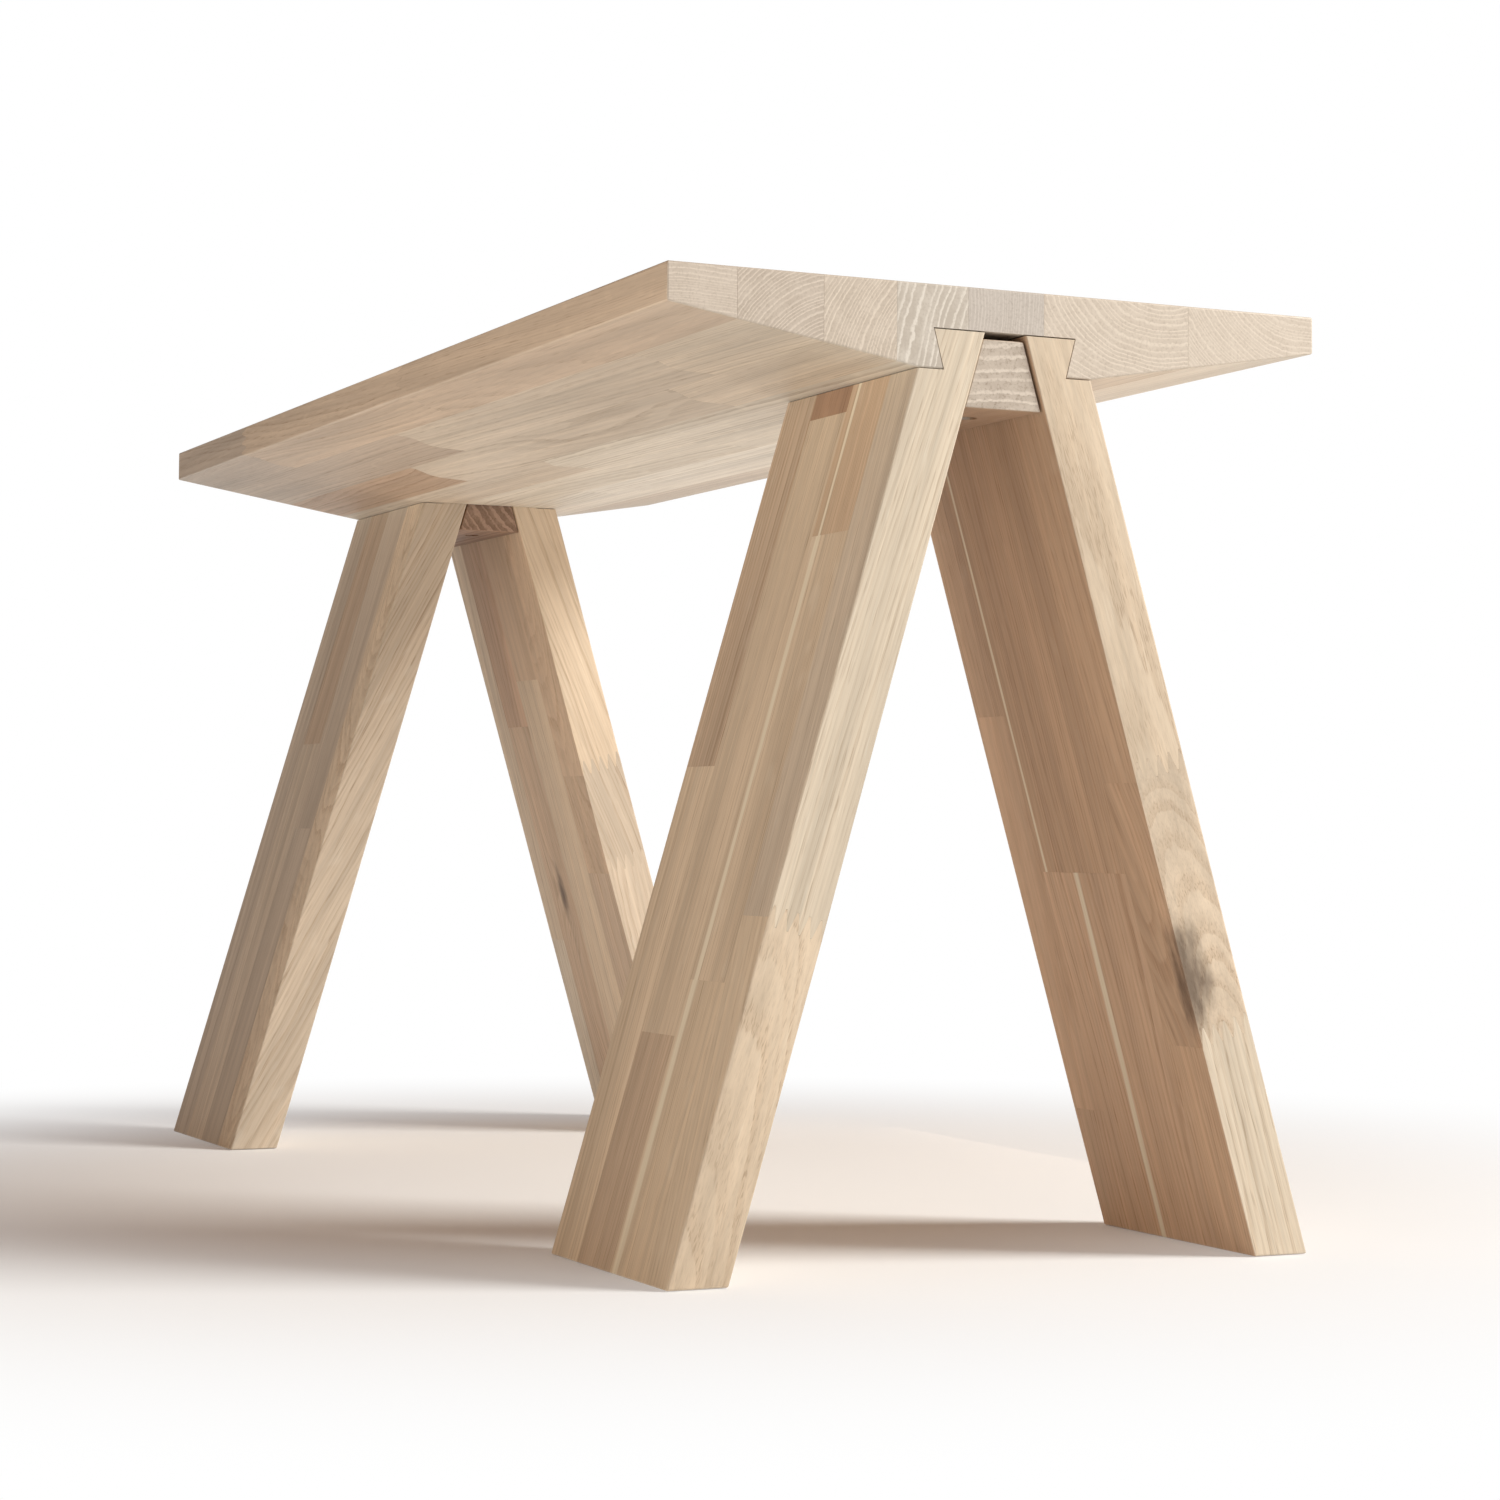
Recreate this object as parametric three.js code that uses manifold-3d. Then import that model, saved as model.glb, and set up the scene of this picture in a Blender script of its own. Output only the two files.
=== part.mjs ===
// A trestle bench in solid oak: a flat-topped board whose underside rises to thin long edges,
// standing on two pairs of splayed board legs. Each pair hooks into one dovetail housing under
// the board's end, and a wedge-shaped locking block, screwed up into the board, holds it open.
//
// Every board is glued up from staves, and most staves are finger-jointed from shorter lengths.
//
// Millimetres, +Z up. The origin is on the floor under the middle of the bench.
// +X is the front end, -Y is the left side.

import * as THREE from 'three';
import { mergeVertices } from 'three/addons/utils/BufferGeometryUtils.js';
import Module from 'manifold-3d';

const wasm = await Module();
wasm.setup();

// ---- Driving sizes ----

const BENCH_LENGTH = 860;
const BENCH_WIDTH = 350;
const BENCH_HEIGHT = 464;

const TOP_THICKNESS = 40;            // along the middle of the board
const TOP_EDGE_THICKNESS = 18.5;     // at the long edges

const LEG_WIDTH = 144;               // along the bench
const LEG_THICKNESS = 29.3;          // square to the leg's faces
const LEG_SPLAY = THREE.MathUtils.degToRad(16.3);
const LEG_GAP_AT_TOP = 21.4;         // between the two legs of a pair, at the housing's ceiling

const HOUSING_DEPTH = 19.4;          // into the board's underside
const SHOULDER_WIDTH = 13.8;         // from the leg's outer face to the root of its tenon
const TENON_FLARE = THREE.MathUtils.degToRad(14.7);

const BLOCK_HEIGHT = 33.3;
const BLOCK_TOP_GAP = 3.4;           // air between the block and the housing's ceiling
const BLOCK_SETBACK = 1.5;           // from the end faces of the legs

const SCREW_SPACING = 68;            // between the two screws of a block
const SCREW_BITE = 12;               // length held by the board
const SCREW_SHANK_DIAMETER = 4.5;
const SCREW_POINT_LENGTH = 5;
const SCREW_HEAD_DIAMETER = 8.4;
const SCREW_HEAD_HEIGHT = 3.2;
const SCREW_HEAD_ROUNDING = 0.8;
const SOCKET_ACROSS_FLATS = 3;
const SOCKET_DEPTH = 2;
const COUNTERBORE_DEPTH = 9;

// ---- Clearances ----

const GLUE_LINE = 0.1;               // between staves, and at the finger joints
const TENON_SIDE_GAP = 0.4;          // around a tenon in its housing
const TENON_TOP_GAP = 0.6;
const SHOULDER_GAP = 0.4;            // between the leg's shoulder and the board
const BLOCK_SNUG_GAP = 0.3;          // block to the left leg of its pair
const BLOCK_LOOSE_GAP = 1.1;         // block to the right leg of its pair
const SCREW_HOLE_GAP = 0.25;         // around the shank, on the radius
const COUNTERBORE_GAP = 0.8;         // around the head, on the radius
const SCREW_SEAT_GAP = 0.1;          // under the head

// ---- Finger joints ----

const FINGER_LENGTH = 9.5;
const FINGER_PITCH = 6.2;
const FINGER_TIP = 0.9;              // width of a finger's blunt end

// ---- Stave layouts ----
// A stave's width is its part of the board's width; only the ratios matter.
// Its joints are at parts of its length: from the rear end on the top, from the floor on a leg.
// The top's staves run from the left edge to the right edge.
// A leg's staves run from the middle of the bench towards the leg's own end face.

const TOP_STAVES = [
  { width: 35, joints: [0.19, 0.555] },
  { width: 44, joints: [0.42, 0.85] },
  { width: 38, joints: [0.3, 0.78] },
  { width: 38, joints: [0.45] },
  { width: 41, joints: [0.62] },
  { width: 81, joints: [0.3, 0.68] },
  { width: 73, joints: [0.55] },
];

const LEG_STAVES = {
  front: {
    left: [
      { width: 35, joints: [0.52] },
      { width: 41, joints: [0.23, 0.91] },
      { width: 40, joints: [0.29, 0.77] },
      { width: 28, joints: [0.36] },
    ],
    right: [
      { width: 30, joints: [0.15, 0.61] },
      { width: 82, joints: [0.43] },
      { width: 32, joints: [0.24, 0.53] },
    ],
  },
  rear: {
    left: [
      { width: 32, joints: [] },
      { width: 40, joints: [0.45] },
      { width: 38, joints: [0.58] },
      { width: 34, joints: [] },
    ],
    right: [
      { width: 38, joints: [0.41, 0.56] },
      { width: 42, joints: [0.71] },
      { width: 40, joints: [0.64] },
      { width: 24, joints: [0.3] },
    ],
  },
};

// ---- Finishes ----

const OAK_TONES = [0xd8c3a4, 0xcdb592, 0xdccab0, 0xc4a67f, 0xd2bd9c];
const OAK_ROUGHNESS = 0.7;
const STEEL_TONE = 0x8a8a88;
const STEEL_ROUGHNESS = 0.35;

// ---- Derived levels and faces ----

const UNDERSIDE_Z = BENCH_HEIGHT - TOP_THICKNESS;
const CEILING_Z = UNDERSIDE_Z + HOUSING_DEPTH;
const TENON_TOP_Z = CEILING_Z - TENON_TOP_GAP;
const SHOULDER_Z = UNDERSIDE_Z - SHOULDER_GAP;
const BLOCK_TOP_Z = CEILING_Z - BLOCK_TOP_GAP;
const BLOCK_BOTTOM_Z = BLOCK_TOP_Z - BLOCK_HEIGHT;
const SCREW_SEAT_Z = BLOCK_BOTTOM_Z + COUNTERBORE_DEPTH;
const SCREW_TIP_Z = CEILING_Z + SCREW_BITE;

const SHANK_HOLE_RADIUS = SCREW_SHANK_DIAMETER / 2 + SCREW_HOLE_GAP;
const COUNTERBORE_RADIUS = SCREW_HEAD_DIAMETER / 2 + COUNTERBORE_GAP;

const CUT_MARGIN = 2;                // how far a cutter runs past what it cuts
const ROUND_SEGMENTS = 24;

// Distance of a leg's inner face from the bench's middle plane, at a height.
function legInnerY(z) {
  return LEG_GAP_AT_TOP / 2 + (CEILING_Z - z) * Math.tan(LEG_SPLAY);
}

// Distance of a leg's outer face from the middle plane, at a height.
function legOuterY(z) {
  return legInnerY(z) + LEG_THICKNESS / Math.cos(LEG_SPLAY);
}

// Distance of a tenon's flared outer side from the middle plane, at a height.
function tenonFlareY(z) {
  const root = legOuterY(UNDERSIDE_Z) - SHOULDER_WIDTH;
  return root + (z - UNDERSIDE_Z) * Math.tan(TENON_FLARE);
}

// The board's underside is flat between the outer faces of the legs, and rises from there.
const FLAT_HALF_WIDTH = legOuterY(UNDERSIDE_Z);

function undersideZ(y) {
  const out = Math.max(0, Math.abs(y) - FLAT_HALF_WIDTH);
  const run = BENCH_WIDTH / 2 - FLAT_HALF_WIDTH;
  return UNDERSIDE_Z + (out / run) * (TOP_THICKNESS - TOP_EDGE_THICKNESS);
}

// ---- Solids ----

// Shape (a, b) drawn in the Y-Z plane and pulled along +X.
const ACROSS_BENCH = new THREE.Matrix4().makeBasis(
  new THREE.Vector3(0, 1, 0),
  new THREE.Vector3(0, 0, 1),
  new THREE.Vector3(1, 0, 0),
);

// Shape (a, b) drawn in the X-Z plane and pulled along -Y.
const ALONG_BENCH = new THREE.Matrix4().makeBasis(
  new THREE.Vector3(1, 0, 0),
  new THREE.Vector3(0, 0, 1),
  new THREE.Vector3(0, -1, 0),
);

// Shape (a, b) drawn in the X-Y plane and pulled along +Z.
const UPRIGHT = new THREE.Matrix4();

// An outline pulled along a straight line, from 0 to depth, in one of the three planes above.
function prism(outline, depth, plane) {
  const shape = new THREE.Shape(outline.map(([a, b]) => new THREE.Vector2(a, b)));
  const geometry = new THREE.ExtrudeGeometry(shape, { depth, bevelEnabled: false });
  return geometry.applyMatrix4(plane);
}

// A turned piece: the profile's points are (radius, height), from the axis back to the axis.
function turned(profile) {
  const points = profile.map(([radius, height]) => new THREE.Vector2(radius, height));
  return new THREE.LatheGeometry(points, ROUND_SEGMENTS).rotateX(Math.PI / 2);
}

function cylinder(radius, bottom, top) {
  return turned([[0, bottom], [radius, bottom], [radius, top], [0, top]]);
}

// A closed geometry as a solid that can be joined and cut.
function solidOf(geometry) {
  const plain = geometry.clone();
  plain.deleteAttribute('normal');
  plain.deleteAttribute('uv');
  const merged = mergeVertices(plain);
  return new wasm.Manifold(new wasm.Mesh({
    numProp: 3,
    vertProperties: Float32Array.from(merged.attributes.position.array),
    triVerts: Uint32Array.from(merged.index.array),
  }));
}

function geometryOf(solid) {
  const mesh = solid.getMesh();
  const geometry = new THREE.BufferGeometry();
  geometry.setAttribute('position', new THREE.BufferAttribute(mesh.vertProperties, 3));
  geometry.setIndex(new THREE.BufferAttribute(mesh.triVerts, 1));
  geometry.computeVertexNormals();
  return geometry;
}

// What is left of a geometry after the cutters are taken out of it.
function cutAway(geometry, cutters) {
  const start = solidOf(geometry);
  return geometryOf(cutters.reduce((solid, cutter) => solid.subtract(solidOf(cutter)), start));
}

// ---- Finger joints ----

// The zigzag line of a finger joint, as (along the grain, across the thickness) points.
// It is centred on `middle` along the grain and covers `low` to `high` across the thickness.
function fingerLine(middle, low, high) {
  const count = Math.ceil((high - low) / FINGER_PITCH);
  const start = (low + high - count * FINGER_PITCH) / 2;
  const flank = (FINGER_PITCH - 2 * FINGER_TIP) / 2;
  const root = middle - FINGER_LENGTH / 2;
  const tip = middle + FINGER_LENGTH / 2;
  const points = [];
  for (let i = 0; i < count; i += 1) {
    const base = start + i * FINGER_PITCH;
    points.push([root, base]);
    points.push([root, base + FINGER_TIP]);
    points.push([tip, base + FINGER_TIP + flank]);
    points.push([tip, base + 2 * FINGER_TIP + flank]);
  }
  points.push([root, start + count * FINGER_PITCH]);
  return points;
}

// The outlines of the lengths that a stave is jointed from, as (along, across) points.
// `joints` are places along the grain, between `from` and `to`.
function lengthOutlines(joints, from, to, low, high) {
  const ends = joints.map((place) => fingerLine(place, low, high));
  const count = Math.ceil((high - low) / FINGER_PITCH);
  const spare = (count * FINGER_PITCH - (high - low)) / 2;
  const shut = (place) => [[place, low - spare], [place, high + spare]];
  const lines = [shut(from), ...ends, shut(to)];
  return lines.slice(1).map((upper, i) => {
    const lower = lines[i].map(([along, across]) => [along + GLUE_LINE / 2, across]);
    const above = upper.map(([along, across]) => [along - GLUE_LINE / 2, across]);
    return [...lower, ...above.reverse()];
  });
}

// Where each stave of a board starts and ends across the board's width, less the glue lines.
function staveEdges(staves, boardWidth) {
  const parts = staves.reduce((sum, stave) => sum + stave.width, 0);
  let edge = 0;
  return staves.map((stave, i) => {
    const start = edge + (i === 0 ? 0 : GLUE_LINE / 2);
    edge += (stave.width / parts) * boardWidth;
    const stop = edge - (i === staves.length - 1 ? 0 : GLUE_LINE / 2);
    return [start, stop];
  });
}

// ---- Pieces ----

let toneIndex = 0;

function oak() {
  toneIndex = (toneIndex + 1) % OAK_TONES.length;
  return new THREE.MeshStandardMaterial({
    color: OAK_TONES[toneIndex],
    roughness: OAK_ROUGHNESS,
    metalness: 0,
  });
}

const steel = new THREE.MeshStandardMaterial({
  color: STEEL_TONE,
  roughness: STEEL_ROUGHNESS,
  metalness: 1,
});

function piece(name, geometry, material) {
  const mesh = new THREE.Mesh(geometry, material);
  mesh.name = name;
  return mesh;
}

function letter(index) {
  return String.fromCharCode('a'.charCodeAt(0) + index);
}

// The middle plane of a locking block: it sits nearer the left leg of its pair.
const BLOCK_MIDDLE_Y = (BLOCK_SNUG_GAP - BLOCK_LOOSE_GAP) / 2;

// The screws of one block, as distances in from the bench's end face.
const SCREW_PLACES = {
  outer: (LEG_WIDTH - SCREW_SPACING) / 2,
  inner: (LEG_WIDTH + SCREW_SPACING) / 2,
};

// The two ends of the bench: the turn about Z that carries the front end's parts there.
const ENDS = { front: 0, rear: Math.PI };

// Carries a geometry made for the front end, with x = 0 at the end face, to an end of the bench.
function atEnd(geometry, end) {
  geometry.translate(BENCH_LENGTH / 2, 0, 0);
  return geometry.rotateZ(ENDS[end]);
}

// The dovetail housing that takes both tenons of a pair, open at the end face.
function housingCutter(end) {
  const low = UNDERSIDE_Z - CUT_MARGIN;
  const half = (z) => tenonFlareY(z) + TENON_SIDE_GAP;
  const outline = [
    [-half(low), low],
    [half(low), low],
    [half(CEILING_Z), CEILING_Z],
    [-half(CEILING_Z), CEILING_Z],
  ];
  const run = LEG_WIDTH + TENON_SIDE_GAP;
  const cutter = prism(outline, run + CUT_MARGIN, ACROSS_BENCH).translate(-run, 0, 0);
  return atEnd(cutter, end);
}

// The hole that a screw's threaded end fills in the board.
function pilotCutter(end, place) {
  const hole = cylinder(SHANK_HOLE_RADIUS, CEILING_Z - CUT_MARGIN, SCREW_TIP_Z + SCREW_HOLE_GAP);
  return atEnd(hole.translate(-SCREW_PLACES[place], BLOCK_MIDDLE_Y, 0), end);
}

function topCutters() {
  return Object.keys(ENDS).flatMap((end) => [
    housingCutter(end),
    ...Object.keys(SCREW_PLACES).map((place) => pilotCutter(end, place)),
  ]);
}

// One stave of the board at full length, between two distances from the left edge.
function topStave(start, stop) {
  const left = start - BENCH_WIDTH / 2;
  const right = stop - BENCH_WIDTH / 2;
  const creases = [-FLAT_HALF_WIDTH, FLAT_HALF_WIDTH].filter((y) => y > left && y < right);
  const below = [left, ...creases, right].map((y) => [y, undersideZ(y)]);
  const outline = [...below, [right, BENCH_HEIGHT], [left, BENCH_HEIGHT]];
  return prism(outline, BENCH_LENGTH, ACROSS_BENCH).translate(-BENCH_LENGTH / 2, 0, 0);
}

function top() {
  const group = new THREE.Group();
  const cutters = topCutters();
  const half = BENCH_LENGTH / 2;
  staveEdges(TOP_STAVES, BENCH_WIDTH).forEach(([start, stop], i) => {
    const stave = solidOf(cutAway(topStave(start, stop), cutters));
    const joints = TOP_STAVES[i].joints.map((part) => (part - 0.5) * BENCH_LENGTH);
    const outlines = lengthOutlines(
      joints, -half - CUT_MARGIN, half + CUT_MARGIN, UNDERSIDE_Z, BENCH_HEIGHT,
    );
    outlines.forEach((outline, k) => {
      const band = prism(outline, BENCH_WIDTH, ALONG_BENCH).translate(0, BENCH_WIDTH / 2, 0);
      const length = geometryOf(stave.intersect(solidOf(band)));
      group.add(piece(`top_stave_${i + 1}_${letter(k)}`, length, oak()));
    });
  });
  return group;
}

// The outline of a leg seen from the bench's end, side -1 for left and 1 for right.
function legOutline(side) {
  return [
    [legInnerY(0), 0],
    [legOuterY(0), 0],
    [legOuterY(SHOULDER_Z), SHOULDER_Z],
    [tenonFlareY(SHOULDER_Z), SHOULDER_Z],
    [tenonFlareY(TENON_TOP_Z), TENON_TOP_Z],
    [legInnerY(TENON_TOP_Z), TENON_TOP_Z],
  ].map(([y, z]) => [side * y, z]);
}

// A point of the leg's board, from (along the grain, across the thickness) to (y, z).
function legPoint([along, across], side) {
  const y = legInnerY(0) - along * Math.sin(LEG_SPLAY) + across * Math.cos(LEG_SPLAY);
  const z = along * Math.cos(LEG_SPLAY) + across * Math.sin(LEG_SPLAY);
  return [side * y, z];
}

// The jointed lengths of one leg, named from the foot up, with x = 0 at the leg's end face.
function leg(name, side, staves) {
  const group = new THREE.Group();
  const run = TENON_TOP_Z / Math.cos(LEG_SPLAY);
  const reach = LEG_THICKNESS + CUT_MARGIN;
  staveEdges(staves, LEG_WIDTH).forEach(([start, stop], i) => {
    const width = stop - start;
    const stave = solidOf(prism(legOutline(side), width, ACROSS_BENCH));
    const joints = staves[i].joints.map((part) => part * run);
    const outlines = lengthOutlines(joints, -reach, run + reach, 0, LEG_THICKNESS);
    outlines.forEach((outline, k) => {
      const band = prism(outline.map((p) => legPoint(p, side)), width, ACROSS_BENCH);
      const length = geometryOf(stave.intersect(solidOf(band)));
      const mesh = piece(`${name}_stave_${i + 1}_${letter(k)}`, length, oak());
      mesh.position.x = start - LEG_WIDTH;
      group.add(mesh);
    });
  });
  return group;
}

// The wedge between the two legs of a pair, bored for its two screws.
function lockingBlock(name) {
  const outline = [
    [-legInnerY(BLOCK_BOTTOM_Z) + BLOCK_SNUG_GAP, BLOCK_BOTTOM_Z],
    [legInnerY(BLOCK_BOTTOM_Z) - BLOCK_LOOSE_GAP, BLOCK_BOTTOM_Z],
    [legInnerY(BLOCK_TOP_Z) - BLOCK_LOOSE_GAP, BLOCK_TOP_Z],
    [-legInnerY(BLOCK_TOP_Z) + BLOCK_SNUG_GAP, BLOCK_TOP_Z],
  ];
  const length = LEG_WIDTH - 2 * BLOCK_SETBACK;
  const blank = prism(outline, length, ACROSS_BENCH);
  const bores = Object.values(SCREW_PLACES).flatMap((inset) => {
    const shankHole = cylinder(SHANK_HOLE_RADIUS, SCREW_SEAT_Z, BLOCK_TOP_Z + CUT_MARGIN);
    const counterbore = cylinder(COUNTERBORE_RADIUS, BLOCK_BOTTOM_Z - CUT_MARGIN, SCREW_SEAT_Z);
    const x = LEG_WIDTH - BLOCK_SETBACK - inset;
    return [shankHole, counterbore].map((bore) => bore.translate(x, BLOCK_MIDDLE_Y, 0));
  });
  const mesh = piece(name, cutAway(blank, bores), oak());
  mesh.position.x = BLOCK_SETBACK - LEG_WIDTH;
  return mesh;
}

// A socket-head wood screw, point up, with z = 0 at the underside of its head.
function screwGeometry() {
  const headRadius = SCREW_HEAD_DIAMETER / 2;
  const shankRadius = SCREW_SHANK_DIAMETER / 2;
  const bearing = -SCREW_SEAT_GAP;
  const tip = SCREW_TIP_Z - SCREW_SEAT_Z;
  const body = turned([
    [0, bearing - SCREW_HEAD_HEIGHT],
    [headRadius - SCREW_HEAD_ROUNDING, bearing - SCREW_HEAD_HEIGHT],
    [headRadius, bearing - SCREW_HEAD_HEIGHT + SCREW_HEAD_ROUNDING],
    [headRadius, bearing],
    [shankRadius, bearing],
    [shankRadius, tip - SCREW_POINT_LENGTH],
    [0, tip],
  ]);
  const cornerRadius = SOCKET_ACROSS_FLATS / 2 / Math.cos(Math.PI / 6);
  const hexagon = Array.from({ length: 6 }, (_, i) => {
    const angle = (i * Math.PI) / 3;
    return [cornerRadius * Math.cos(angle), cornerRadius * Math.sin(angle)];
  });
  const socket = prism(hexagon, SOCKET_DEPTH + CUT_MARGIN, UPRIGHT);
  socket.translate(0, 0, bearing - SCREW_HEAD_HEIGHT - CUT_MARGIN);
  return cutAway(body, [socket]);
}

function screw(name, inset) {
  const mesh = piece(name, screwGeometry(), steel);
  mesh.position.set(-inset, BLOCK_MIDDLE_Y, SCREW_SEAT_Z);
  return mesh;
}

// One pair of legs with its locking block and screws. The rear pair is the front pair's
// arrangement turned half round, so its left and right change places.
function trestle(end) {
  const group = new THREE.Group();
  const turnedRound = end === 'rear';
  ['left', 'right'].forEach((sideName) => {
    const side = (sideName === 'left') === turnedRound ? 1 : -1;
    group.add(leg(`leg_${end}_${sideName}`, side, LEG_STAVES[end][sideName]));
  });
  group.add(lockingBlock(`locking_block_${end}`));
  Object.entries(SCREW_PLACES).forEach(([place, inset]) => {
    group.add(screw(`screw_${end}_${place}`, inset));
  });
  group.rotation.z = ENDS[end];
  group.position.x = (turnedRound ? -1 : 1) * (BENCH_LENGTH / 2);
  return group;
}

const bench = new THREE.Group();
bench.add(top());
Object.keys(ENDS).forEach((end) => bench.add(trestle(end)));

export default bench;
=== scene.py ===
"""Trestle bench in pale white-oiled oak: one board with thin edges on four splayed board legs.

Every board is glued up from staves, and every stave from finger-jointed lengths. Each length is one piece
here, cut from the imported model, with its outer edges eased and its own place in the tree it came from.
"""

from __future__ import annotations

import logging
import math
import random
from dataclasses import dataclass, field, replace
from enum import Enum

import bmesh
import bpy
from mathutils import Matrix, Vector


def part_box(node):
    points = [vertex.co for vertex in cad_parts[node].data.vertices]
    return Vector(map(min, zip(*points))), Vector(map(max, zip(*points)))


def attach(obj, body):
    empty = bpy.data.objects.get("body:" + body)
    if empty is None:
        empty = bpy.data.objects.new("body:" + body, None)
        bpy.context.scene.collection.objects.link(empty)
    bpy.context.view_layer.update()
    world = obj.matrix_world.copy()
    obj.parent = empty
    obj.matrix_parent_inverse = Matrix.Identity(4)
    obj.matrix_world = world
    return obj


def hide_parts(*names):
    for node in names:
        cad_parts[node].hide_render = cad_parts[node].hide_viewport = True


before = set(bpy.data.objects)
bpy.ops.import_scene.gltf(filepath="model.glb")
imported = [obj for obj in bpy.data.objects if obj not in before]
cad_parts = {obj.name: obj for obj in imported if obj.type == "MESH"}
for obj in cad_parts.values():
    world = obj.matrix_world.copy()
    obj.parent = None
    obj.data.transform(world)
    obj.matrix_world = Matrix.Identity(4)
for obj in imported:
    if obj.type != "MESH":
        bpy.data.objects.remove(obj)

MM = 0.001
NO_STREAK = (1e5, 0.01, 0.0)
NO_KNOT = (1e6, 0.0, 0.0, 0.1)
Socket = bpy.types.NodeSocket
Three = tuple[float, float, float]
log = logging.getLogger("trestle_bench")


class End(Enum):
    """The two ends of the bench; front is towards +X."""

    FRONT = "front"
    REAR = "rear"


class Side(Enum):
    """The two long sides of the bench; left is towards -Y."""

    LEFT = "left"
    RIGHT = "right"

    @property
    def sign(self) -> int:
        """-1 on the left, +1 on the right."""
        return -1 if self is Side.LEFT else 1


class Place(Enum):
    """Which of the two screws in a locking block."""

    OUTER = "outer"
    INNER = "inner"


class Shade(Enum):
    """The shades that oak lengths are sorted into, as a share of the plain one in red, green and blue. Some
    of them are painted shade and painted light, for lengths that lie in shade or are lit.
    """

    PLAIN = (1.00, 1.00, 1.00)
    STRAW = (1.05, 1.05, 1.04)
    PALE = (1.08, 1.14, 1.19)
    TAN = (0.94, 0.87, 0.82)
    ROSY = (0.91, 0.78, 0.71)
    # painted light: the pale glow on the middle of the underside
    CREAM = (1.15, 1.25, 1.36)
    BROWN = (0.84, 0.71, 0.63)
    FAWN = (0.86, 0.82, 0.81)
    GREY = (0.88, 0.91, 0.96)
    # painted shade: the rear-left leg, darker where less light reaches it
    PEWTER = (0.79, 0.82, 0.88)
    # painted shade: darker for lengths that lie in shade, on the rear-left leg and the top's left edge
    DUSK = (0.76, 0.73, 0.73)
    RUSSET = (0.58, 0.45, 0.39)


class Skin(Enum):
    """What a face of a sawn length is on the finished bench."""

    WIDE = "wide face"
    UNDER = "underside"
    EDGE = "narrow edge"
    CUT = "cross-cut end"
    HIDDEN = "inside a joint"


# ---------------------------------------------------------------------------------------------------------
# How one length of oak looks


@dataclass(frozen=True)
class OakLook:
    """Where one length sat in its tree and what marks it carries. Lengths are in millimetres.

    pith is the tree's heart seen from the middle of the length, across and through the board. slant is how
    far the heart drifts per metre of length. streak is a pale sapwood line: place across the board, half
    width, drift per metre. knot is along, across, through and size. The last field is painted light and
    shade: the shade of the faces that lie along the bench, lighter or darker than on those at its ends as
    those faces are lit or lie in shade.
    """

    pith: tuple[float, float] = (60.0, 60.0)
    ring: float = 2.6
    slant: tuple[float, float] = (0.0, 0.0)
    shade: Shade = Shade.PLAIN
    contrast: float = 0.6
    wander: float = 2.0
    streak: Three | None = None
    knot: tuple[float, float, float, float] | None = None
    # painted light and shade on the faces along the bench, as they are lit or lie in shade
    sides: Shade | None = None


@dataclass(frozen=True)
class GrainFrame:
    """The directions of a board's grain: along it, across its width and through its thickness."""

    along: Vector
    across: Vector
    through: Vector

    def measure(self, point: Vector, origin: Vector) -> Vector:
        """Gives a point's place in the board, seen from origin.

        Args:
            point: the point, in metres.
            origin: the point to measure from.

        Returns:
            Its distance along, across and through the board.
        """
        away = point - origin
        return Vector((away.dot(self.along), away.dot(self.across), away.dot(self.through)))


def drawn_look(name: str, ring: tuple[float, float]) -> OakLook:
    """Draws a look for a length that has none of its own, the same at each run.

    Args:
        name: the length's node name, which seeds the draw.
        ring: the narrowest and widest yearly ring, in millimetres.

    Returns:
        The look.
    """
    draw = random.Random(name)
    bearing = draw.uniform(0.0, math.tau)
    reach = draw.uniform(28.0, 150.0)
    common = [Shade.PLAIN, Shade.STRAW, Shade.TAN, Shade.GREY, Shade.PALE]
    return OakLook(
        pith=(reach * math.cos(bearing), reach * math.sin(bearing)),
        ring=draw.uniform(*ring),
        slant=(draw.uniform(-26.0, 26.0), draw.uniform(-26.0, 26.0)),
        shade=sorted_shades().get(name) or draw.choice(common),
        contrast=draw.uniform(0.6, 0.95),
        wander=draw.uniform(1.5, 4.5),
    )


# ---------------------------------------------------------------------------------------------------------
# Node trees


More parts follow.
